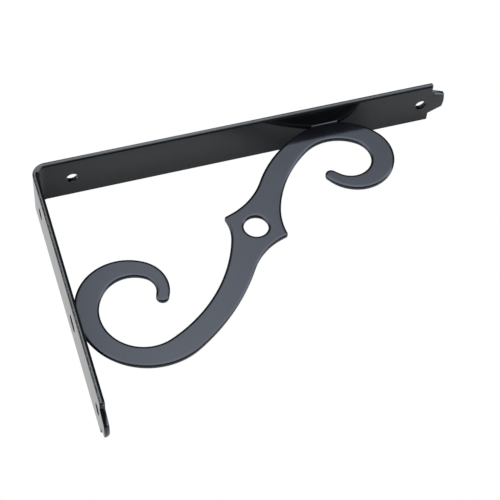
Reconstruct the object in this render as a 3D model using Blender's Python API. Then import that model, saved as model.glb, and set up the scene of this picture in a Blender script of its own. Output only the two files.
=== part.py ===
"""Scroll shelf bracket: a bent steel strap with a flat scroll plate standing edge-on in its corner.

Frame: +Z up, +X out from the wall along the arm, Y across the strap. The strap's outer faces are the
wall face (x = 0) and the shelf face (z = SHELF_Z). The origin is on the wall face, on the strap's centre
line, between the upper screw hole and the slot of the leg.
"""
import math

import bmesh
import bpy
from mathutils import Vector

MM = 0.001

# The strap: a flat bar with its coat, bent once
STRAP_W = 31.8 * MM
STRAP_T = 3.2 * MM
BEND_INNER_R = 5.4 * MM
BEND_STEPS = 8
ARM_LENGTH = 263.8 * MM
LEG_LENGTH = 175.3 * MM
SHELF_Z = 62 * MM

# The shaped tip, the same at both ends
TIP_LENGTH = 9.3 * MM
TIP_ROOT_W = 19.2 * MM
TIP_END_W = 11.2 * MM
TIP_BOW = 0.8 * MM
TIP_BOW_STEPS = 3
TIP_CORNER_R = 1.3 * MM
SHOULDER_R = 1.3 * MM

# Holes through the strap, by their distance from the bend's outer corner. A slot has a wide mouth in the
# outer face, and below the mouth it fits the plate's tab closely.
HOLE_D = 7.2 * MM
ARM_HOLES = (24.3 * MM, 247.6 * MM)
LEG_HOLES = (24.3 * MM, 159.6 * MM)
SLOT_W = 3.8 * MM
SLOT_LENGTH = 7.6 * MM
MOUTH_EDGE = 1.7 * MM
MOUTH_DEPTH = 1.5 * MM
ARM_SLOT = 184.2 * MM
LEG_SLOT = 102.9 * MM

# The scroll plate
PLATE_T = 3.2 * MM
PLATE_GAP = 0.3 * MM
EYE_D = 14.7 * MM
EYE_AT = (119.2 * MM, -66.5 * MM)
CUSP_R = 1.9 * MM
TAB_LENGTH = 3.8 * MM
TAB_RECESS = 0.4 * MM

# The rims: the plate and the bar's inner face are well rounded, and all else is barely broken
PLATE_RIM = 0.7 * MM
INNER_RIM = 0.6 * MM
CUT_RIM = 0.3 * MM
CHORD = 0.05 * MM
WELD = 0.0001 * MM
SHARP_ANGLE = math.radians(30)

# The plate's four edges, each from a corner of the hub to the end of a volute. A start is (x from the
# wall, z from the shelf face, heading in degrees). Then come arcs of (radius, turn in degrees), where a
# left turn is positive. A tip is (x, z, radius). Lengths here are in millimetres.
LOWER_OUTER = (
    (133.2, -78.0, 194.6),
    ((39.6, 42.4), (133.4, -27.1), (41.4, -133.0), (30.4, -110.7), (20.4, -73.0)),
)
LOWER_INNER = (
    (103.1, -57.4, -77.5),
    ((26.6, -30.4), (91.6, -49.5), (25.1, -158.4), (19.1, -77.8), (9.1, -72.0)),
)
UPPER_OUTER = (
    (105.6, -54.5, 16.4),
    ((46.1, 40.6), (77.4, -38.3), (36.9, -71.9), (24.4, -182.0)),
)
UPPER_INNER = (
    (135.6, -75.3, 96.2),
    ((41.6, -25.7), (74.6, -36.0), (27.1, -72.9), (13.6, -185.0)),
)
LOWER_TIP = (53.4, -99.0, 3.8)
UPPER_TIP = (174.7, -41.5, 3.5)

STRAP_BLACK = (0.004, 0.004, 0.0042, 1.0)
PLATE_BLACK = (0.004, 0.0042, 0.005, 1.0)
COAT_ROUGHNESS = 0.13
COAT_METALLIC = 0.0


def clear_scene():
    for obj in list(bpy.data.objects):
        bpy.data.objects.remove(obj, do_unlink=True)


def powder_coat(name, colour):
    material = bpy.data.materials.new(name)
    material.use_nodes = True
    shader = material.node_tree.nodes["Principled BSDF"]
    shader.inputs["Base Color"].default_value = colour
    shader.inputs["Roughness"].default_value = COAT_ROUGHNESS
    shader.inputs["Metallic"].default_value = COAT_METALLIC
    material.diffuse_color = colour
    return material


# Outlines. Each is walked with the steel on its right-hand side.

def arc_points(centre, radius, start, end):
    """Points along an arc, its first end left out, close enough for chords to stay within CHORD of it."""
    step = 2 * math.acos(1 - CHORD / radius)
    count = max(1, math.ceil(abs(end - start) / step))
    angles = [start + (end - start) * i / count for i in range(1, count + 1)]
    return [centre + radius * Vector((math.cos(a), math.sin(a))) for a in angles]


def circle(centre, diameter):
    return arc_points(Vector(centre), diameter / 2, 0, 2 * math.pi)


def obround(centre, length, width):
    """A slot's outline, long in the first direction."""
    radius = width / 2
    offset = Vector((length / 2 - radius, 0))
    quarter = math.pi / 2
    right = Vector(centre) + offset
    left = Vector(centre) - offset
    points = arc_points(right, radius, -quarter, quarter)
    points.append(left + Vector((0, radius)))
    points += arc_points(left, radius, quarter, 3 * quarter)
    points.append(right - Vector((0, radius)))
    return points


def arc_chain(start, arcs):
    """Follows arcs that run smoothly into each other."""
    points = [Vector(start[:2]) * MM]
    heading = math.radians(start[2])
    for radius, turn in arcs:
        side = math.copysign(math.pi / 2, turn)
        centre = points[-1] + radius * MM * Vector((math.cos(heading + side), math.sin(heading + side)))
        old_heading = heading
        heading += math.radians(turn)
        points += arc_points(centre, radius * MM, old_heading - side, heading - side)
    return points


def rounded_corner(before, corner, after, radius):
    """The arc that rounds a corner between two neighbouring points."""
    a = (before - corner).normalized()
    b = (after - corner).normalized()
    half = a.angle(b) / 2
    centre = corner + (a + b).normalized() * radius / math.sin(half)
    first = corner + a * radius / math.tan(half) - centre
    last = corner + b * radius / math.tan(half) - centre
    start = math.atan2(first.y, first.x)
    turn = math.remainder(math.atan2(last.y, last.x) - start, 2 * math.pi)
    return [centre + first] + arc_points(centre, radius, start, start + turn)


def crossing(p, p_next, q, q_next):
    """Where the lines through two pairs of points cross."""
    d = p_next - p
    e = q_next - q
    return p + d * (q - p).cross(e) / d.cross(e)


def hub_corner(edge_in, edge_out):
    corner = crossing(edge_in[-2], edge_in[-1], edge_out[0], edge_out[1])
    return rounded_corner(edge_in[-1], corner, edge_out[0], CUSP_R)


def volute_end(edge_in, edge_out, tip):
    """The round end between the two edges of a volute."""
    centre = Vector(tip[:2]) * MM
    radius = tip[2] * MM

    def touch(point, side):
        away = point - centre
        return math.atan2(away.y, away.x) + side * math.acos(radius / away.length)

    start = touch(edge_in[-1], -1)
    end = touch(edge_out[0], 1)
    if end > start:
        end -= 2 * math.pi
    first = centre + radius * Vector((math.cos(start), math.sin(start)))
    return [first] + arc_points(centre, radius, start, end)


def meet_strap(outline, depth, tab):
    """Cuts the outline flat where depth(point) is above zero, and adds the tab for the strap's slot."""
    points = []
    for p, q in zip(outline, outline[1:] + outline[:1]):
        if depth(p) <= 0:
            points.append(p)
        if depth(p) * depth(q) < 0:
            points.append(p.lerp(q, depth(p) / (depth(p) - depth(q))))
        if depth(p) <= 0 < depth(q):
            points += tab
    return points


def plate_outline():
    lower_outer = arc_chain(*LOWER_OUTER)
    lower_inner = arc_chain(*LOWER_INNER)[::-1]
    upper_outer = arc_chain(*UPPER_OUTER)
    upper_inner = arc_chain(*UPPER_INNER)[::-1]
    outline = lower_outer + volute_end(lower_outer, lower_inner, LOWER_TIP) + lower_inner
    outline += hub_corner(lower_inner, upper_outer)
    outline += upper_outer + volute_end(upper_outer, upper_inner, UPPER_TIP) + upper_inner
    outline += hub_corner(upper_inner, lower_outer)

    flat = STRAP_T + PLATE_GAP
    arm_tab = []
    leg_tab = []
    for side, depths in ((-1, (flat, TAB_RECESS)), (1, (TAB_RECESS, flat))):
        for depth in depths:
            arm_tab.append(Vector((ARM_SLOT + side * TAB_LENGTH / 2, -depth)))
            leg_tab.append(Vector((depth, -LEG_SLOT + side * TAB_LENGTH / 2)))
    outline = meet_strap(outline, lambda p: p.y + flat, arm_tab)
    return meet_strap(outline, lambda p: flat - p.x, leg_tab)


def tip_outline(shoulder):
    """One end of the strap, pointing along +u from its shoulders, walked from +v to -v."""
    side = Vector((0, STRAP_W / 2))
    edge = Vector((shoulder, STRAP_W / 2))
    root = Vector((shoulder, TIP_ROOT_W / 2))
    corner = Vector((shoulder + TIP_LENGTH - TIP_BOW, TIP_END_W / 2))
    bow_radius = (corner.y ** 2 + TIP_BOW ** 2) / (2 * TIP_BOW)
    centre = Vector((shoulder + TIP_LENGTH - bow_radius, 0))
    spread = math.asin(corner.y / bow_radius)
    angles = [spread * i / TIP_BOW_STEPS for i in range(TIP_BOW_STEPS - 1, 0, -1)]
    bow = [centre + bow_radius * Vector((math.cos(a), math.sin(a))) for a in angles]
    half = rounded_corner(side, edge, root, SHOULDER_R) + [root]
    half += rounded_corner(root, corner, bow[0], TIP_CORNER_R) + bow
    middle = Vector((shoulder + TIP_LENGTH, 0))
    return half + [middle] + [Vector((p.x, -p.y)) for p in reversed(half)]


# Solids. A blank is flat, with its thickness from 0 to t, and a placing function puts it in the part's frame.

def inset(points, distance):
    """Moves an outline into the steel, to its right, with mitred corners."""
    moved = []
    for before, p, after in zip(points[-1:] + points[:-1], points, points[1:] + points[:1]):
        a = (p - before).normalized()
        b = (after - p).normalized()
        normal = Vector((a.y + b.y, -a.x - b.x)).normalized()
        moved.append(p + normal * distance / normal.dot(Vector((a.y, -a.x))))
    return moved


def broken_rims(low, high, thickness):
    """The rings of a wall, each with its inset and its height, from one face to the other."""
    return [(low, 0), (0, low), (0, thickness - high), (high, thickness)]


def wide_mouth(rim, thickness):
    """The rings of a slot's wall with its wide mouth in the face at height 0."""
    mouth = [(MOUTH_EDGE + rim, 0), (MOUTH_EDGE, rim), (MOUTH_EDGE, MOUTH_DEPTH), (0, MOUTH_DEPTH)]
    return mouth + broken_rims(rim, rim, thickness)[2:]


def blank(walls):
    """A flat solid from its walls, each an outline and its rings: the outer one, then those of its holes."""
    bm = bmesh.new()
    faces = ([], [])
    for outline, layers in walls:
        rings = []
        for depth, height in layers:
            rings.append([bm.verts.new((p.x, p.y, height)) for p in inset(outline, depth)])
        count = len(outline)
        for low, high in zip(rings, rings[1:]):
            for i in range(count):
                j = (i + 1) % count
                bm.faces.new((low[i], low[j], high[j], high[i]))
        for face, ring in zip(faces, (rings[0], rings[-1])):
            face += [bm.edges.get((ring[i], ring[(i + 1) % count])) for i in range(count)]
    for edges in faces:
        bmesh.ops.triangle_fill(bm, use_beauty=True, edges=edges)
    return bm


def finish(name, bm, place, material):
    for vertex in bm.verts:
        vertex.co = place(*vertex.co)
    bm.normal_update()
    bmesh.ops.recalc_face_normals(bm, faces=bm.faces)
    mesh = bpy.data.meshes.new(name)
    bm.to_mesh(mesh)
    bm.free()
    mesh.shade_smooth()
    mesh.set_sharp_from_angle(angle=SHARP_ANGLE)
    mesh.materials.append(material)
    obj = bpy.data.objects.new(name, mesh)
    bpy.context.collection.objects.link(obj)
    return obj


def make_strap():
    outer_r = BEND_INNER_R + STRAP_T
    bend = (BEND_INNER_R + STRAP_T / 2) * math.pi / 2

    def along_arm(distance):
        return bend / 2 - outer_r + distance

    arm_end = tip_outline(along_arm(ARM_LENGTH - TIP_LENGTH))
    leg_end = [-p for p in tip_outline(along_arm(LEG_LENGTH - TIP_LENGTH))]
    walls = [(arm_end + leg_end, broken_rims(CUT_RIM, INNER_RIM, STRAP_T))]
    for station in [along_arm(d) for d in ARM_HOLES] + [-along_arm(d) for d in LEG_HOLES]:
        walls.append((circle((station, 0), HOLE_D), broken_rims(CUT_RIM, CUT_RIM, STRAP_T)))
    for station in (along_arm(ARM_SLOT), -along_arm(LEG_SLOT)):
        walls.append((obround((station, 0), SLOT_LENGTH, SLOT_W), wide_mouth(CUT_RIM, STRAP_T)))
    bm = blank(walls)
    for i in range(BEND_STEPS + 1):
        station = (bend * (i / BEND_STEPS - 0.5), 0, 0)
        geometry = bm.verts[:] + bm.edges[:] + bm.faces[:]
        bmesh.ops.bisect_plane(bm, geom=geometry, dist=WELD, plane_co=station, plane_no=(1, 0, 0))

    def bent(u, v, w):
        """Height w = 0 is the outer face, u runs from the leg's end through the bend to the arm's."""
        turn = min(max(u / bend + 0.5, 0), 1) * math.pi / 2
        past = u - min(max(u, -bend / 2), bend / 2)
        radius = outer_r - w
        x = outer_r - radius * math.cos(turn) + past * math.sin(turn)
        z = SHELF_Z - outer_r + radius * math.sin(turn) + past * math.cos(turn)
        return (x, v, z)

    return finish("strap", bm, bent, powder_coat("strap_coat", STRAP_BLACK))


def make_scroll_plate():
    rims = broken_rims(PLATE_RIM, PLATE_RIM, PLATE_T)
    bm = blank([(plate_outline(), rims), (circle(EYE_AT, EYE_D), rims)])

    def upright(u, v, w):
        return (u, w - PLATE_T / 2, v + SHELF_Z)

    return finish("scroll_plate", bm, upright, powder_coat("plate_coat", PLATE_BLACK))


clear_scene()
make_strap()
make_scroll_plate()
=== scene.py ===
"""Scroll shelf bracket in gloss black powder coat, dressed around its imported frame.

Metres, +Z up. The wall face is x = 0, +X runs out along the arm, and Y runs across the strap.
"""
import math

import bmesh
import bpy
from mathutils import Euler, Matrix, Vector


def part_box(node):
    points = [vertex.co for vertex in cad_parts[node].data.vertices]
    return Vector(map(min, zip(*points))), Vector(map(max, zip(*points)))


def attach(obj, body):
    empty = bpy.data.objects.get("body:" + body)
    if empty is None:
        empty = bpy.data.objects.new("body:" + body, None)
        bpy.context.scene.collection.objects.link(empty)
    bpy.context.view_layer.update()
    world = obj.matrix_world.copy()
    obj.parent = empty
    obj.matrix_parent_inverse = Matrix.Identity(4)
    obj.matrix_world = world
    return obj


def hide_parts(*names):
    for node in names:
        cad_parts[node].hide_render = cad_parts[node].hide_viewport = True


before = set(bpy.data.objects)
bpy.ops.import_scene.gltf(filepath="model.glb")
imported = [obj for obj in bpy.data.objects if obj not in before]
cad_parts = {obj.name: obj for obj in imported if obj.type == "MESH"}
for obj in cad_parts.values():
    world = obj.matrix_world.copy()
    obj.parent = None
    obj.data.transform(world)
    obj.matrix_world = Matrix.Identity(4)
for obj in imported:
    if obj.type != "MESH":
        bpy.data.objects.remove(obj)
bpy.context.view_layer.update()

MM = 0.001

# Sizes that the frame gives
strap_low, strap_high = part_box("strap")
plate_low, plate_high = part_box("scroll_plate")
SHELF_Z = strap_high[2]
ARM_LENGTH = strap_high[0] - strap_low[0]
LEG_LENGTH = strap_high[2] - strap_low[2]
STRAP_W = strap_high[1] - strap_low[1]
PLATE_T = plate_high[1] - plate_low[1]

# The strap
STRAP_T = 3.2 * MM
BEND_INNER_R = 5.4 * MM
BEND_STEPS = 24
TIP_LENGTH = 9.3 * MM
TIP_ROOT_W = 19.2 * MM
TIP_END_W = 11.2 * MM
TIP_BOW = 0.8 * MM
TIP_BOW_STEPS = 8
TIP_CORNER_R = 1.3 * MM
SHOULDER_R = 1.3 * MM
HOLE_D = 7.2 * MM
ARM_HOLES = (24.3 * MM, 247.6 * MM)
LEG_HOLES = (24.3 * MM, 159.6 * MM)
SLOT_W = 3.8 * MM
SLOT_LENGTH = 7.6 * MM
MOUTH_EDGE = 1.7 * MM
MOUTH_DEPTH = 1.5 * MM
ARM_SLOT = 184.2 * MM
LEG_SLOT = 102.9 * MM
# Its rims, each by how far it reaches across the face and down the edge, and how flat it is: 0 is round, and
# 1 is a chamfer
OUTER_RIM = (0.35 * MM, 0.35 * MM, 0)
INNER_RIM = (0.9 * MM, 1.55 * MM, 0.85)
CUT_RIM = (0.15 * MM, 0.15 * MM, 0)

# The scroll plate
PLATE_GAP = 0.05 * MM
EYE_D = 14.7 * MM
EYE_AT = (119.2 * MM, -66.5 * MM)
CUSP_R = 1.9 * MM
TAB_LENGTH = 3.8 * MM
TAB_RECESS = 0.4 * MM
# How far its round rims reach across the face and down the edge
PLATE_RIM = (1.8 * MM, 0.9 * MM)

# The slim bead in the corner where the plate meets the strap. Its section is given by how far each corner
# lies in front of the plate's face and below the strap, and it widens towards its far end.
BEAD_SECTION = ((0.50 * MM, 0), (0.33 * MM, 0.4 * MM), (-0.3 * MM, 0.9 * MM), (-1.0 * MM, 0))
BEAD_ENDS = (0.8, 1.4)

RIM_STEPS = 6
CHORD = 0.006 * MM
WELD = 0.001 * MM

# The plate's four edges, each from a corner of the hub to the end of a volute. A start is (x from the
# wall, z from the shelf face, heading in degrees). Then come arcs of (radius, turn in degrees), where a
# left turn is positive. A tip is (x, z, radius). Lengths here are in millimetres. The arcs were fitted by
# least squares to edges traced in the photograph, and then moved outward.
LOWER_OUTER = (
    (133.2, -78.0, 194.6),
    ((39.6, 42.4), (133.4, -27.1), (41.4, -133.0), (30.4, -110.7), (20.4, -73.0)),
)
LOWER_INNER = (
    (103.1, -57.4, -77.5),
    ((26.6, -30.4), (91.6, -49.5), (25.1, -158.4), (19.1, -77.8), (9.1, -72.0)),
)
UPPER_OUTER = (
    (105.6, -54.5, 16.4),
    ((46.1, 40.6), (77.4, -38.3), (36.9, -71.9), (24.4, -182.0)),
)
UPPER_INNER = (
    (135.6, -75.3, 96.2),
    ((41.6, -25.7), (74.6, -36.0), (27.1, -72.9), (13.6, -185.0)),
)
LOWER_TIP = (53.4, -99.0, 3.8)
UPPER_TIP = (174.7, -41.5, 3.5)

# Finishes. The heights of the coat's unevenness are in millimetres, and a scale is a noise's scale per metre.
STRAP_BLACK = (0.004, 0.004, 0.0042)
PLATE_BLACK = (0.004, 0.0042, 0.005)
SHEARED_GREY = (0.041, 0.040, 0.029)
STRAP_ROUGHNESS = 0.12
PLATE_ROUGHNESS = 0.14
COAT_IOR = 1.5
ROUGH_SCALE = 90
ROUGH_RANGE = 0.06
FINE_PEEL_SCALE = 620
FINE_PEEL_SHARE = 0.7
WIDE_PEEL_SCALE = 210
PEEL_HEIGHT = 0.012
CLOUD_SCALE = 45
CLOUD_EDGES = (0.35, 0.65)
CLOUD_LIFT = 1.35
SHEAR_SCALE = 560
SHEAR_DETAIL = 3.0
SHEAR_HEIGHT = 0.05
SHEAR_ROUGHNESS = 0.08

# The dark line of painted shade along the strap's sheared sides, in millimetres from the outer face. It
# doesn't show where x is near its least distance below, and appears over its two fade distances from there.
SHADE_LINE_DARK = 0.55
SHADE_LINE_STARTS = (0.15, 0.35)
SHADE_LINE_ENDS = (1.05, 0.85)
SHADE_LINE_SCALE = 160
SHADE_LINE_WANDER = 0.3
SHADE_LINE_LEAST_AT = 80 * MM
SHADE_LINE_FADE = (30 * MM, 80 * MM)

# The plate's tabs get painted shade, made dull black, where they lie less than this many millimetres inside
# the strap's outer faces, and the noise sets which specks stay glossy
TAB_SHADE_DEPTHS = (3.1, 2.9)
SPECK_SCALE = 700
SPECKS = (0.57, 0.54)

# The light that the steel mirrors, by its direction. Its level is 1 at KEY_SIDE and KEY_LEVEL, and KEY_FADES
# are its slopes to the left, to the right and upwards. It falls sideways by KEY_MOST_FADE at most, and stops
# rising below KEY_LOW. It ends at the upper edge KEY_TOP, the lower edge KEY_BASE, the slanting edge
# KEY_CORNER, and at KEY_BACK towards the back.
KEY_SIDE = 0.16
KEY_LEVEL = 0.53
KEY_LOW = 0.3
KEY_FADES = (-3.5, 2.7, 1.9)
KEY_MOST_FADE = 0.3
KEY_TOP = (0.67, 0.62)
KEY_BASE = (-0.36, -0.18)
KEY_CORNER = (1.01, 0.93)
KEY_BACK = (0.45, 0.30)
KEY_GLOW = 3.36
KEY_COLOUR = (0.75, 0.834, 1.0, 1)
BACKDROP_GLOW = 0.75
BACKDROP_EDGE = (0.60, 0.75)
ROOM_GLOW = 0.02
BOARD_COLOUR = (0.42, 0.405, 0.37, 1)
BOARD_SIZE = 1.2
BOARD_GAP = 0.6 * MM
FLOOR_COLOUR = (0.75, 0.75, 0.75, 1)
FLOOR_SIZE = 6
FLOOR_AT = (0.5, 0.5, -1.3)

# The photograph's camera
CAMERA_AT = (-0.0829, -0.7314, -0.5019)
CAMERA_TURN = (124.314, 17.404, -3.301)
CAMERA_LENS = 111.34


class Socket:
    """A node's output that Python's operators work on. Each operator adds a Math node."""

    def __init__(self, graph, socket):
        self.graph = graph
        self.socket = socket

    def maths(self, operation, *values):
        return self.graph.add("ShaderNodeMath", {"operation": operation}, dict(enumerate(values)))

    def __add__(self, other):
        return self.maths("ADD", self, other)

    __radd__ = __add__

    def __sub__(self, other):
        return self.maths("SUBTRACT", self, other)

    def __rsub__(self, other):
        return self.maths("SUBTRACT", other, self)

    def __mul__(self, other):
        return self.maths("MULTIPLY", self, other)

    __rmul__ = __mul__

    def __truediv__(self, other):
        return self.maths("DIVIDE", self, other)

    def __gt__(self, other):
        return self.maths("GREATER_THAN", self, other)

    def __lt__(self, other):
        return self.maths("LESS_THAN", self, other)


class Graph:
    """Adds nodes to one tree: a node's settings first, then its sockets' values or links."""

    def __init__(self, tree):
        self.tree = tree

    def add(self, kind, settings=None, inputs=None, output=0):
        node = self.tree.nodes.new(kind)
        for name, value in (settings or {}).items():
            setattr(node, name, value)
        for key, value in (inputs or {}).items():
            self.feed(node.inputs[key], value)
        return Socket(self, node.outputs[output])

    def feed(self, socket, value):
        if isinstance(value, Socket):
            self.tree.links.new(value.socket, socket)
        else:
            socket.default_value = value


def smooth_step(value, low, high):
    """Goes smoothly from 0 at low to 1 at high. Low may be the larger of the two."""
    settings = {"interpolation_type": "SMOOTHSTEP"}
    return value.graph.add("ShaderNodeMapRange", settings, {0: value, 1: low, 2: high, 3: 0.0, 4: 1.0})


# Outlines. Each is walked with the steel on its right-hand side.

def arc_points(centre, radius, start, end):
    """Points along an arc, its first end left out, close enough for chords to stay within CHORD of it."""
    step = 2 * math.acos(1 - CHORD / radius)
    count = max(1, math.ceil(abs(end - start) / step))
    angles = [start + (end - start) * i / count for i in range(1, count + 1)]
    return [centre + radius * Vector((math.cos(a), math.sin(a))) for a in angles]


def circle(centre, diameter):
    return arc_points(Vector(centre), diameter / 2, 0, 2 * math.pi)


def obround(centre, length, width):
    """A slot's outline, long in the first direction."""
    radius = width / 2
    offset = Vector((length / 2 - radius, 0))
    quarter = math.pi / 2
    right = Vector(centre) + offset
    left = Vector(centre) - offset
    points = arc_points(right, radius, -quarter, quarter)
    points.append(left + Vector((0, radius)))
    points += arc_points(left, radius, quarter, 3 * quarter)
    points.append(right - Vector((0, radius)))
    return points


def arc_chain(start, arcs):
    """Follows arcs that run smoothly into each other."""
    points = [Vector(start[:2]) * MM]
    heading = math.radians(start[2])
    for radius, turn in arcs:
        side = math.copysign(math.pi / 2, turn)
        centre = points[-1] + radius * MM * Vector((math.cos(heading + side), math.sin(heading + side)))
        old_heading = heading
        heading += math.radians(turn)
        points += arc_points(centre, radius * MM, old_heading - side, heading - side)
    return points


def rounded_corner(before, corner, after, radius):
    """The arc that rounds a corner between two neighbouring points."""
    a = (before - corner).normalized()
    b = (after - corner).normalized()
    half = a.angle(b) / 2
    centre = corner + (a + b).normalized() * radius / math.sin(half)
    first = corner + a * radius / math.tan(half) - centre
    last = corner + b * radius / math.tan(half) - centre
    start = math.atan2(first.y, first.x)
    turn = math.remainder(math.atan2(last.y, last.x) - start, 2 * math.pi)
    return [centre + first] + arc_points(centre, radius, start, start + turn)


def crossing(p, p_next, q, q_next):
    """Where the lines through two pairs of points cross."""
    d = p_next - p
    e = q_next - q
    return p + d * (q - p).cross(e) / d.cross(e)


def hub_corner(edge_in, edge_out):
    corner = crossing(edge_in[-2], edge_in[-1], edge_out[0], edge_out[1])
    return rounded_corner(edge_in[-1], corner, edge_out[0], CUSP_R)


def volute_end(edge_in, edge_out, tip):
    """The round end between the two edges of a volute."""
    centre = Vector(tip[:2]) * MM
    radius = tip[2] * MM

    def touch(point, side):
        away = point - centre
        return math.atan2(away.y, away.x) + side * math.acos(radius / away.length)

    start = touch(edge_in[-1], -1)
    end = touch(edge_out[0], 1)
    if end > start:
        end -= 2 * math.pi
    first = centre + radius * Vector((math.cos(start), math.sin(start)))
    return [first] + arc_points(centre, radius, start, end)


def meet_strap(outline, depth, tab):
    """Cuts the outline flat where depth(point) is above zero, and adds the tab for the strap's slot."""
    points = []
    for p, q in zip(outline, outline[1:] + outline[:1]):
        if depth(p) <= 0:
            points.append(p)
        if depth(p) * depth(q) < 0:
            points.append(p.lerp(q, depth(p) / (depth(p) - depth(q))))
        if depth(p) <= 0 < depth(q):
            points += tab
    return points


def plate_outline():
    lower_outer = arc_chain(*LOWER_OUTER)
    lower_inner = arc_chain(*LOWER_INNER)[::-1]
    upper_outer = arc_chain(*UPPER_OUTER)
    upper_inner = arc_chain(*UPPER_INNER)[::-1]
    outline = lower_outer + volute_end(lower_outer, lower_inner, LOWER_TIP) + lower_inner
    outline += hub_corner(lower_inner, upper_outer)
    outline += upper_outer + volute_end(upper_outer, upper_inner, UPPER_TIP) + upper_inner
    outline += hub_corner(upper_inner, lower_outer)

    flat = STRAP_T + PLATE_GAP
    arm_tab = []
    leg_tab = []
    for side, depths in ((-1, (flat, TAB_RECESS)), (1, (TAB_RECESS, flat))):
        for depth in depths:
            arm_tab.append(Vector((ARM_SLOT + side * TAB_LENGTH / 2, -depth)))
            leg_tab.append(Vector((depth, -LEG_SLOT + side * TAB_LENGTH / 2)))
    outline = meet_strap(outline, lambda p: p.y + flat, arm_tab)
    return meet_strap(outline, lambda p: flat - p.x, leg_tab)


def tip_outline(shoulder):
    """One end of the strap, pointing along +u from its shoulders, walked from +v to -v."""
    side = Vector((0, STRAP_W / 2))
    edge = Vector((shoulder, STRAP_W / 2))
    root = Vector((shoulder, TIP_ROOT_W / 2))
    corner = Vector((shoulder + TIP_LENGTH - TIP_BOW, TIP_END_W / 2))
    bow_radius = (corner.y ** 2 + TIP_BOW ** 2) / (2 * TIP_BOW)
    centre = Vector((shoulder + TIP_LENGTH - bow_radius, 0))
    spread = math.asin(corner.y / bow_radius)
    angles = [spread * i / TIP_BOW_STEPS for i in range(TIP_BOW_STEPS - 1, 0, -1)]
    bow = [centre + bow_radius * Vector((math.cos(a), math.sin(a))) for a in angles]
    half = rounded_corner(side, edge, root, SHOULDER_R) + [root]
    half += rounded_corner(root, corner, bow[0], TIP_CORNER_R) + bow
    middle = Vector((shoulder + TIP_LENGTH, 0))
    return half + [middle] + [Vector((p.x, -p.y)) for p in reversed(half)]


# The strap's solid: a flat blank, which a placing function bends

def inset(points, distance):
    """Moves an outline into the steel, to its right, with mitred corners."""
    moved = []
    for before, p, after in zip(points[-1:] + points[:-1], points, points[1:] + points[:1]):
        a = (p - before).normalized()
        b = (after - p).normalized()
        normal = Vector((a.y + b.y, -a.x - b.x)).normalized()
        moved.append(p + normal * distance / normal.dot(Vector((a.y, -a.x))))
    return moved


def rim_layers(low, high, thickness):
    """The rings of a wall with its rims, each with its inset and its height, from one face to the other."""
    def rim(across, down, flatness):
        rings = []
        for part in [i / RIM_STEPS for i in range(RIM_STEPS + 1)]:
            angle = part * math.pi / 2
            depth = (1 - flatness) * (1 - math.sin(angle)) + flatness * (1 - part)
            height = (1 - flatness) * (1 - math.cos(angle)) + flatness * part
            rings.append((across * depth, down * height))
        return rings

    return rim(*low) + [(depth, thickness - height) for depth, height in reversed(rim(*high))]


def mouth_layers(rim_size, thickness):
    """The rings of a slot's wall with its wide mouth in the face at height 0."""
    rim = rim_layers(rim_size, rim_size, thickness)
    mouth = [(MOUTH_EDGE + depth, height) for depth, height in rim[:RIM_STEPS + 1]]
    return mouth + [(MOUTH_EDGE, MOUTH_DEPTH), (0, MOUTH_DEPTH)] + rim[RIM_STEPS + 1:]


def blank(walls):
    """A flat solid from its walls, the outer one and then its holes: each an outline and its rings.

    The upright faces along the strap's sides are marked as sheared, and the holes' walls as punched.
    """
    bm = bmesh.new()
    sheared = bm.faces.layers.float.new("sheared")
    punched = bm.faces.layers.float.new("punched")
    faces = ([], [])
    for number, (outline, layers) in enumerate(walls):
        rings = []
        for depth, height in layers:
            rings.append([bm.verts.new((p.x, p.y, height)) for p in inset(outline, depth)])
        count = len(outline)
        for k, (low, high) in enumerate(zip(rings, rings[1:])):
            upright = abs(layers[k][0] - layers[k + 1][0]) < WELD
            for i in range(count):
                j = (i + 1) % count
                face = bm.faces.new((low[i], low[j], high[j], high[i]))
                on_side = min(abs(outline[i].y), abs(outline[j].y)) > STRAP_W / 2 - WELD
                face[sheared] = float(upright and on_side)
                face[punched] = float(number > 0)
        for face, ring in zip(faces, (rings[0], rings[-1])):
            face += [bm.edges.get((ring[i], ring[(i + 1) % count])) for i in range(count)]
    for edges in faces:
        bmesh.ops.triangle_fill(bm, use_beauty=True, edges=edges)
    return bm


def weigh_normals(obj):
    """Keeps the flat faces flat and their rims round, by weighting each normal with its faces' areas."""
    modifier = obj.modifiers.new("normals", "WEIGHTED_NORMAL")
    modifier.mode = "FACE_AREA"
    modifier.weight = 100


def plain_mesh(obj, name):
    """Turns an object with its modifiers into a plain mesh object."""
    evaluated = obj.evaluated_get(bpy.context.evaluated_depsgraph_get())
    mesh = bpy.data.meshes.new_from_object(evaluated)
    bpy.data.objects.remove(obj, do_unlink=True)
    mesh.name = name
    piece = bpy.data.objects.new(name, mesh)
    bpy.context.collection.objects.link(piece)
    return piece


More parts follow.
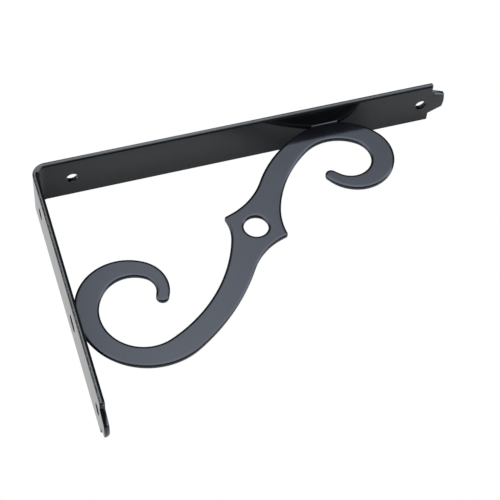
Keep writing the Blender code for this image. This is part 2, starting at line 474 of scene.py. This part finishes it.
def make_strap(coat):
    outer_r = BEND_INNER_R + STRAP_T
    bend = (BEND_INNER_R + STRAP_T / 2) * math.pi / 2

    def along_arm(distance):
        return bend / 2 - outer_r + distance

    arm_end = tip_outline(along_arm(ARM_LENGTH - TIP_LENGTH))
    leg_end = [-p for p in tip_outline(along_arm(LEG_LENGTH - TIP_LENGTH))]
    walls = [(arm_end + leg_end, rim_layers(OUTER_RIM, INNER_RIM, STRAP_T))]
    for station in [along_arm(d) for d in ARM_HOLES] + [-along_arm(d) for d in LEG_HOLES]:
        walls.append((circle((station, 0), HOLE_D), rim_layers(CUT_RIM, CUT_RIM, STRAP_T)))
    for station in (along_arm(ARM_SLOT), -along_arm(LEG_SLOT)):
        slot = obround((station, 0), SLOT_LENGTH, SLOT_W)
        walls.append((slot, mouth_layers(CUT_RIM, STRAP_T)))
    bm = blank(walls)
    for i in range(BEND_STEPS + 1):
        station = (bend * (i / BEND_STEPS - 0.5), 0, 0)
        geometry = bm.verts[:] + bm.edges[:] + bm.faces[:]
        bmesh.ops.bisect_plane(bm, geom=geometry, dist=WELD / 100, plane_co=station, plane_no=(1, 0, 0))

    for vertex in bm.verts:
        u, v, w = vertex.co
        turn = min(max(u / bend + 0.5, 0), 1) * math.pi / 2
        past = u - min(max(u, -bend / 2), bend / 2)
        radius = outer_r - w
        x = outer_r - radius * math.cos(turn) + past * math.sin(turn)
        z = SHELF_Z - outer_r + radius * math.sin(turn) + past * math.cos(turn)
        vertex.co = (x, v, z)
    bm.normal_update()
    bmesh.ops.recalc_face_normals(bm, faces=bm.faces)
    mesh = bpy.data.meshes.new("flat_bar")
    bm.to_mesh(mesh)
    bm.free()
    mesh.shade_smooth()
    mesh.materials.append(coat)
    bar = bpy.data.objects.new("flat_bar", mesh)
    bpy.context.collection.objects.link(bar)
    weigh_normals(bar)
    return plain_mesh(bar, "bent_strap")


# The scroll plate: a rim profile swept along its outlines, and a filled face on each side

def plate_tree():
    tree = bpy.data.node_groups.new("cut_plate", "GeometryNodeTree")
    graph = Graph(tree)
    sockets = (("Outlines", "Geometry"), ("Thickness", "Float"), ("Rim Across", "Float"),
               ("Rim Down", "Float"), ("Rim Steps", "Int"), ("Height", "Float"), ("Coat", "Material"))
    for name, kind in sockets:
        tree.interface.new_socket(name, in_out="INPUT", socket_type="NodeSocket" + kind)
    tree.interface.new_socket("Plate", in_out="OUTPUT", socket_type="NodeSocketGeometry")
    group = tree.nodes.new("NodeGroupInput")
    inputs = [Socket(graph, output) for output in group.outputs[:len(sockets)]]
    outlines, thickness, across, down, steps, height, coat = inputs

    line = graph.add("GeometryNodeCurvePrimitiveLine")
    line = graph.add("GeometryNodeResampleCurve", {"mode": "COUNT"}, {"Curve": line, "Count": steps * 2 + 2})
    index = graph.add("GeometryNodeInputIndex")
    first_turn = index.maths("MINIMUM", index, steps)
    second_turn = index.maths("MAXIMUM", index - steps - 1, 0)
    angle = (first_turn + second_turn) * (math.pi / 2) / steps
    side = 1 - 2 * (index > steps)
    rim_x = across - across * angle.maths("SINE", angle)
    rim_y = side * (thickness / 2 - down) + down * angle.maths("COSINE", angle)
    place = graph.add("ShaderNodeCombineXYZ", None, {0: rim_x, 1: rim_y})
    profile = graph.add("GeometryNodeSetPosition", None, {"Geometry": line, "Position": place})
    wall = graph.add("GeometryNodeCurveToMesh", None, {"Curve": outlines, "Profile Curve": profile})

    open_edge = graph.add("GeometryNodeInputMeshEdgeNeighbors") < 2
    position = graph.add("GeometryNodeInputPosition")
    level = graph.add("ShaderNodeSeparateXYZ", None, {0: position}, "Z")

    def face(chosen, level_sign):
        ring = graph.add("GeometryNodeMeshToCurve", None, {"Mesh": wall, "Selection": open_edge * chosen})
        filled = graph.add("GeometryNodeFillCurve", {"mode": "TRIANGLES"}, {"Curve": ring})
        lift = graph.add("ShaderNodeCombineXYZ", None, {2: level_sign * thickness / 2})
        return graph.add("GeometryNodeTransform", None, {"Geometry": filled, "Translation": lift})

    top = face(level > 0, 1)
    bottom = graph.add("GeometryNodeFlipFaces", None, {"Mesh": face(level < 0, -1)})
    join = tree.nodes.new("GeometryNodeJoinGeometry")
    for part in (wall, top, bottom):
        tree.links.new(part.socket, join.inputs[0])
    joined = Socket(graph, join.outputs[0])
    plate = graph.add("GeometryNodeMergeByDistance", None, {"Geometry": joined, "Distance": WELD})
    lift = graph.add("ShaderNodeCombineXYZ", None, {2: height})
    upright = {"Geometry": plate, "Translation": lift, "Rotation": (math.pi / 2, 0, 0)}
    plate = graph.add("GeometryNodeTransform", None, upright)
    plate = graph.add("GeometryNodeSetShadeSmooth", None, {"Geometry": plate})
    plate = graph.add("GeometryNodeRealizeInstances", None, {"Geometry": plate})
    plate = graph.add("GeometryNodeSetMaterial", None, {"Geometry": plate, "Material": coat})
    output = tree.nodes.new("NodeGroupOutput")
    tree.links.new(plate.socket, output.inputs[0])
    return tree


def joint_bead(bm, ends, place, material_index):
    """A slim bead along the corner between the plate's face and the strap, from one end to the other."""
    rings = []
    for end, size in zip(ends, BEAD_ENDS):
        rings.append([bm.verts.new(place(end, size * out, size * down)) for out, down in BEAD_SECTION])
    first, last = rings
    count = len(BEAD_SECTION)
    faces = [bm.faces.new(first), bm.faces.new(last[::-1])]
    for i in range(count):
        j = (i + 1) % count
        faces.append(bm.faces.new((first[i], last[i], last[j], first[j])))
    for face in faces:
        face.material_index = material_index
        face.smooth = False
    bmesh.ops.recalc_face_normals(bm, faces=faces)


def add_joint_beads(scroll, material_index):
    """Both sides of both places where the plate's flat edge meets the strap."""
    flat = STRAP_T + PLATE_GAP
    outline = plate_outline()
    arm = [p.x for p in outline if abs(p.y + flat) < WELD]
    leg = [p.y for p in outline if abs(p.x - flat) < WELD]
    bm = bmesh.new()
    bm.from_mesh(scroll.data)
    for side in (-1, 1):
        face = side * PLATE_T / 2

        def under_arm(along, out, down):
            return (along, face + side * out, SHELF_Z - STRAP_T - down)

        def inside_leg(along, out, down):
            return (STRAP_T + down, face + side * out, SHELF_Z + along)

        joint_bead(bm, (min(arm), max(arm)), under_arm, material_index)
        joint_bead(bm, (min(leg), max(leg)), inside_leg, material_index)
    bm.to_mesh(scroll.data)
    bm.free()


def make_scroll_plate(coat):
    curve = bpy.data.curves.new("plate_outlines", "CURVE")
    curve.dimensions = "3D"
    curve.twist_mode = "Z_UP"
    for outline in (plate_outline(), circle(EYE_AT, EYE_D)):
        spline = curve.splines.new("POLY")
        spline.points.add(len(outline) - 1)
        for point, place in zip(spline.points, outline):
            point.co = (place.x, place.y, 0, 1)
        spline.use_cyclic_u = True
    outlines = bpy.data.objects.new("plate_outlines", curve)
    bpy.context.collection.objects.link(outlines)
    modifier = outlines.modifiers.new("cut_plate", "NODES")
    modifier.node_group = plate_tree()
    values = {"Thickness": PLATE_T, "Rim Across": PLATE_RIM[0], "Rim Down": PLATE_RIM[1],
              "Rim Steps": RIM_STEPS, "Height": SHELF_Z, "Coat": coat}
    for item in modifier.node_group.interface.items_tree:
        if item.name in values:
            modifier[item.identifier] = values[item.name]
    plate = plain_mesh(outlines, "cut_plate")
    weigh_normals(plate)
    scroll = plain_mesh(plate, "scroll")
    add_joint_beads(scroll, scroll.data.materials.find(coat.name))
    return scroll


# Finishes

def new_material(name):
    material = bpy.data.materials.new(name)
    material.use_nodes = True
    graph = Graph(material.node_tree)
    return material, graph, material.node_tree.nodes["Principled BSDF"]


def powder_coat(name, colour, roughness, is_strap=False):
    """Gloss coat with a fine orange peel.

    On the strap's sheared sides it is uneven and greyer, with a dark line of painted shade along them. The
    punched walls and the plate's tabs in them carry painted shade: they are made dull black, with a few
    glossy specks.
    """
    material, graph, shader = new_material(name)
    place = graph.add("ShaderNodeTexCoord", output="Object")

    def noise(scale, detail=2.0):
        inputs = {"Vector": place, "Scale": scale, "Detail": detail}
        return graph.add("ShaderNodeTexNoise", None, inputs, "Fac")

    def mark(name):
        return graph.add("ShaderNodeAttribute", {"attribute_name": name}, None, "Fac")

    peel = noise(FINE_PEEL_SCALE) * FINE_PEEL_SHARE + noise(WIDE_PEEL_SCALE) * (1 - FINE_PEEL_SHARE)
    height = PEEL_HEIGHT * peel
    rough = roughness + ROUGH_RANGE * (noise(ROUGH_SCALE) - 0.5)
    cloud = smooth_step(noise(CLOUD_SCALE), *CLOUD_EDGES)
    lighter = [c * CLOUD_LIFT for c in colour]
    tint = graph.add("ShaderNodeMix", {"data_type": "RGBA"}, {0: cloud, 6: (*colour, 1), 7: (*lighter, 1)}, 2)
    parts = graph.add("ShaderNodeSeparateXYZ", None, {0: place}, "X")
    x, z = [Socket(graph, parts.socket.node.outputs[axis]) for axis in ("X", "Z")]
    depth = x.maths("MINIMUM", x, SHELF_Z - z) / MM
    if is_strap:
        sheared = mark("sheared")
        # Painted shade: a dark line along the sheared sides, between set depths from the outer face, mixing
        # the grey back to black
        uneven = depth + SHADE_LINE_WANDER * (noise(SHADE_LINE_SCALE) - 0.5)
        painted_line_shade = sheared * smooth_step(uneven, *SHADE_LINE_STARTS) * smooth_step(uneven, *SHADE_LINE_ENDS)
        painted_line_shade = painted_line_shade * smooth_step(x.maths("ABSOLUTE", x - SHADE_LINE_LEAST_AT), *SHADE_LINE_FADE)
        punched = mark("punched")
        # Painted shade: the punched walls and the dark line along the sheared sides are made dull black
        painted_shade = punched + painted_line_shade
        height = height + SHEAR_HEIGHT * (sheared + punched) * noise(SHEAR_SCALE, SHEAR_DETAIL)
        rough = rough + SHEAR_ROUGHNESS * sheared
        greys = {0: sheared - SHADE_LINE_DARK * painted_line_shade, 6: tint, 7: (*SHEARED_GREY, 1)}
        tint = graph.add("ShaderNodeMix", {"data_type": "RGBA"}, greys, 2)
    else:
        # Painted shade: the tabs down in the strap's slots are made dull black
        painted_shade = smooth_step(depth, *TAB_SHADE_DEPTHS)
    # Metallic over the near-black base colour paints the shade: it takes away the coat's gloss, except at a
    # few specks
    graph.feed(shader.inputs["Metallic"], painted_shade * smooth_step(noise(SPECK_SCALE), *SPECKS))
    bump = {"Height": height, "Distance": MM, "Strength": 1.0}
    graph.feed(shader.inputs["Normal"], graph.add("ShaderNodeBump", None, bump))
    graph.feed(shader.inputs["Roughness"], rough)
    graph.feed(shader.inputs["Base Color"], tint)
    shader.inputs["IOR"].default_value = COAT_IOR
    return material


# The room

def make_world():
    """White to the camera. The steel sees a soft key light in front and a pale surface behind, else dark."""
    world = bpy.data.worlds.new("studio")
    bpy.context.scene.world = world
    world.use_nodes = True
    graph = Graph(world.node_tree)
    background = world.node_tree.nodes["Background"]
    way = graph.add("ShaderNodeTexCoord", output="Generated")
    parts = world.node_tree.nodes.new("ShaderNodeSeparateXYZ")
    graph.feed(parts.inputs[0], way)
    x, y, z = [Socket(graph, s) for s in parts.outputs]
    left_fade, right_fade, high_fade = KEY_FADES
    aside = x - KEY_SIDE
    side_fade = aside.maths("MAXIMUM", left_fade * aside, right_fade * aside)
    height = z.maths("MAXIMUM", z, KEY_LOW) - KEY_LEVEL
    level = 1 - side_fade.maths("MINIMUM", side_fade, KEY_MOST_FADE) - high_fade * height
    within = smooth_step(z, *KEY_BASE) * smooth_step(z, *KEY_TOP) * smooth_step(x + z, *KEY_CORNER)
    key = level * within * smooth_step(y, *KEY_BACK)
    glow = ROOM_GLOW + BACKDROP_GLOW * smooth_step(y, *BACKDROP_EDGE) + KEY_GLOW * key
    seen = graph.add("ShaderNodeLightPath", output="Is Camera Ray")
    graph.feed(background.inputs["Strength"], seen + (1 - seen) * glow)
    in_key = (1 - seen) * (y < KEY_BACK[0])
    colour = {0: in_key, 6: (1, 1, 1, 1), 7: KEY_COLOUR}
    graph.feed(background.inputs["Color"], graph.add("ShaderNodeMix", {"data_type": "RGBA"}, colour, 2))


def make_softbox(name, place, target, size, radiance):
    light = bpy.data.lights.new(name, "AREA")
    light.shape = "SQUARE"
    light.size = size
    light.energy = radiance * math.pi * size ** 2
    lamp = bpy.data.objects.new(name, light)
    lamp.location = place
    lamp.rotation_euler = (Vector(target) - Vector(place)).to_track_quat("-Z", "Y").to_euler()
    lamp.visible_camera = False
    lamp.visible_glossy = False
    bpy.context.collection.objects.link(lamp)


def make_plane(name, size, place, turn, colour):
    bpy.ops.mesh.primitive_plane_add(size=size, location=place, rotation=turn)
    plane = bpy.context.object
    plane.name = name
    material = new_material(name)[0]
    shader = material.node_tree.nodes["Principled BSDF"]
    shader.inputs["Base Color"].default_value = colour
    shader.inputs["Roughness"].default_value = 0.8
    shader.inputs["Specular IOR Level"].default_value = 0.0
    plane.data.materials.append(material)
    return plane


def make_surroundings():
    """A pale floor, and close behind the bracket a pale board that only the gloss of the steel shows."""
    floor = make_plane("floor", FLOOR_SIZE, FLOOR_AT, (0, 0, 0), FLOOR_COLOUR)
    floor.visible_glossy = False
    behind = (BOARD_SIZE / 2, STRAP_W / 2 + BOARD_GAP, 0)
    board = make_plane("board", BOARD_SIZE, behind, (math.pi / 2, 0, 0), BOARD_COLOUR)
    board.visible_camera = False
    board.visible_diffuse = False
    board.visible_shadow = False


def make_camera():
    camera = bpy.data.cameras.new("camera")
    camera.lens = CAMERA_LENS
    camera.clip_start = 0.05
    camera.clip_end = 20
    holder = bpy.data.objects.new("camera", camera)
    holder.location = CAMERA_AT
    holder.rotation_euler = Euler([math.radians(a) for a in CAMERA_TURN])
    bpy.context.collection.objects.link(holder)
    bpy.context.scene.camera = holder


make_camera()
make_world()
make_surroundings()
make_softbox("front_fill", place=(0.25, -0.9, -0.6), target=(0.18, 0, 0), size=0.5, radiance=6.0)
make_softbox("floor_light", place=(0.3, -0.4, 2.2), target=(0.3, 0.3, -1.3), size=1.5, radiance=6.0)
bpy.context.scene.view_settings.view_transform = "Standard"

strap = make_strap(powder_coat("strap_coat", STRAP_BLACK, STRAP_ROUGHNESS, is_strap=True))
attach(strap, "root")
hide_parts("strap")

scroll = make_scroll_plate(powder_coat("plate_coat", PLATE_BLACK, PLATE_ROUGHNESS))
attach(scroll, "root")
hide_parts("scroll_plate")
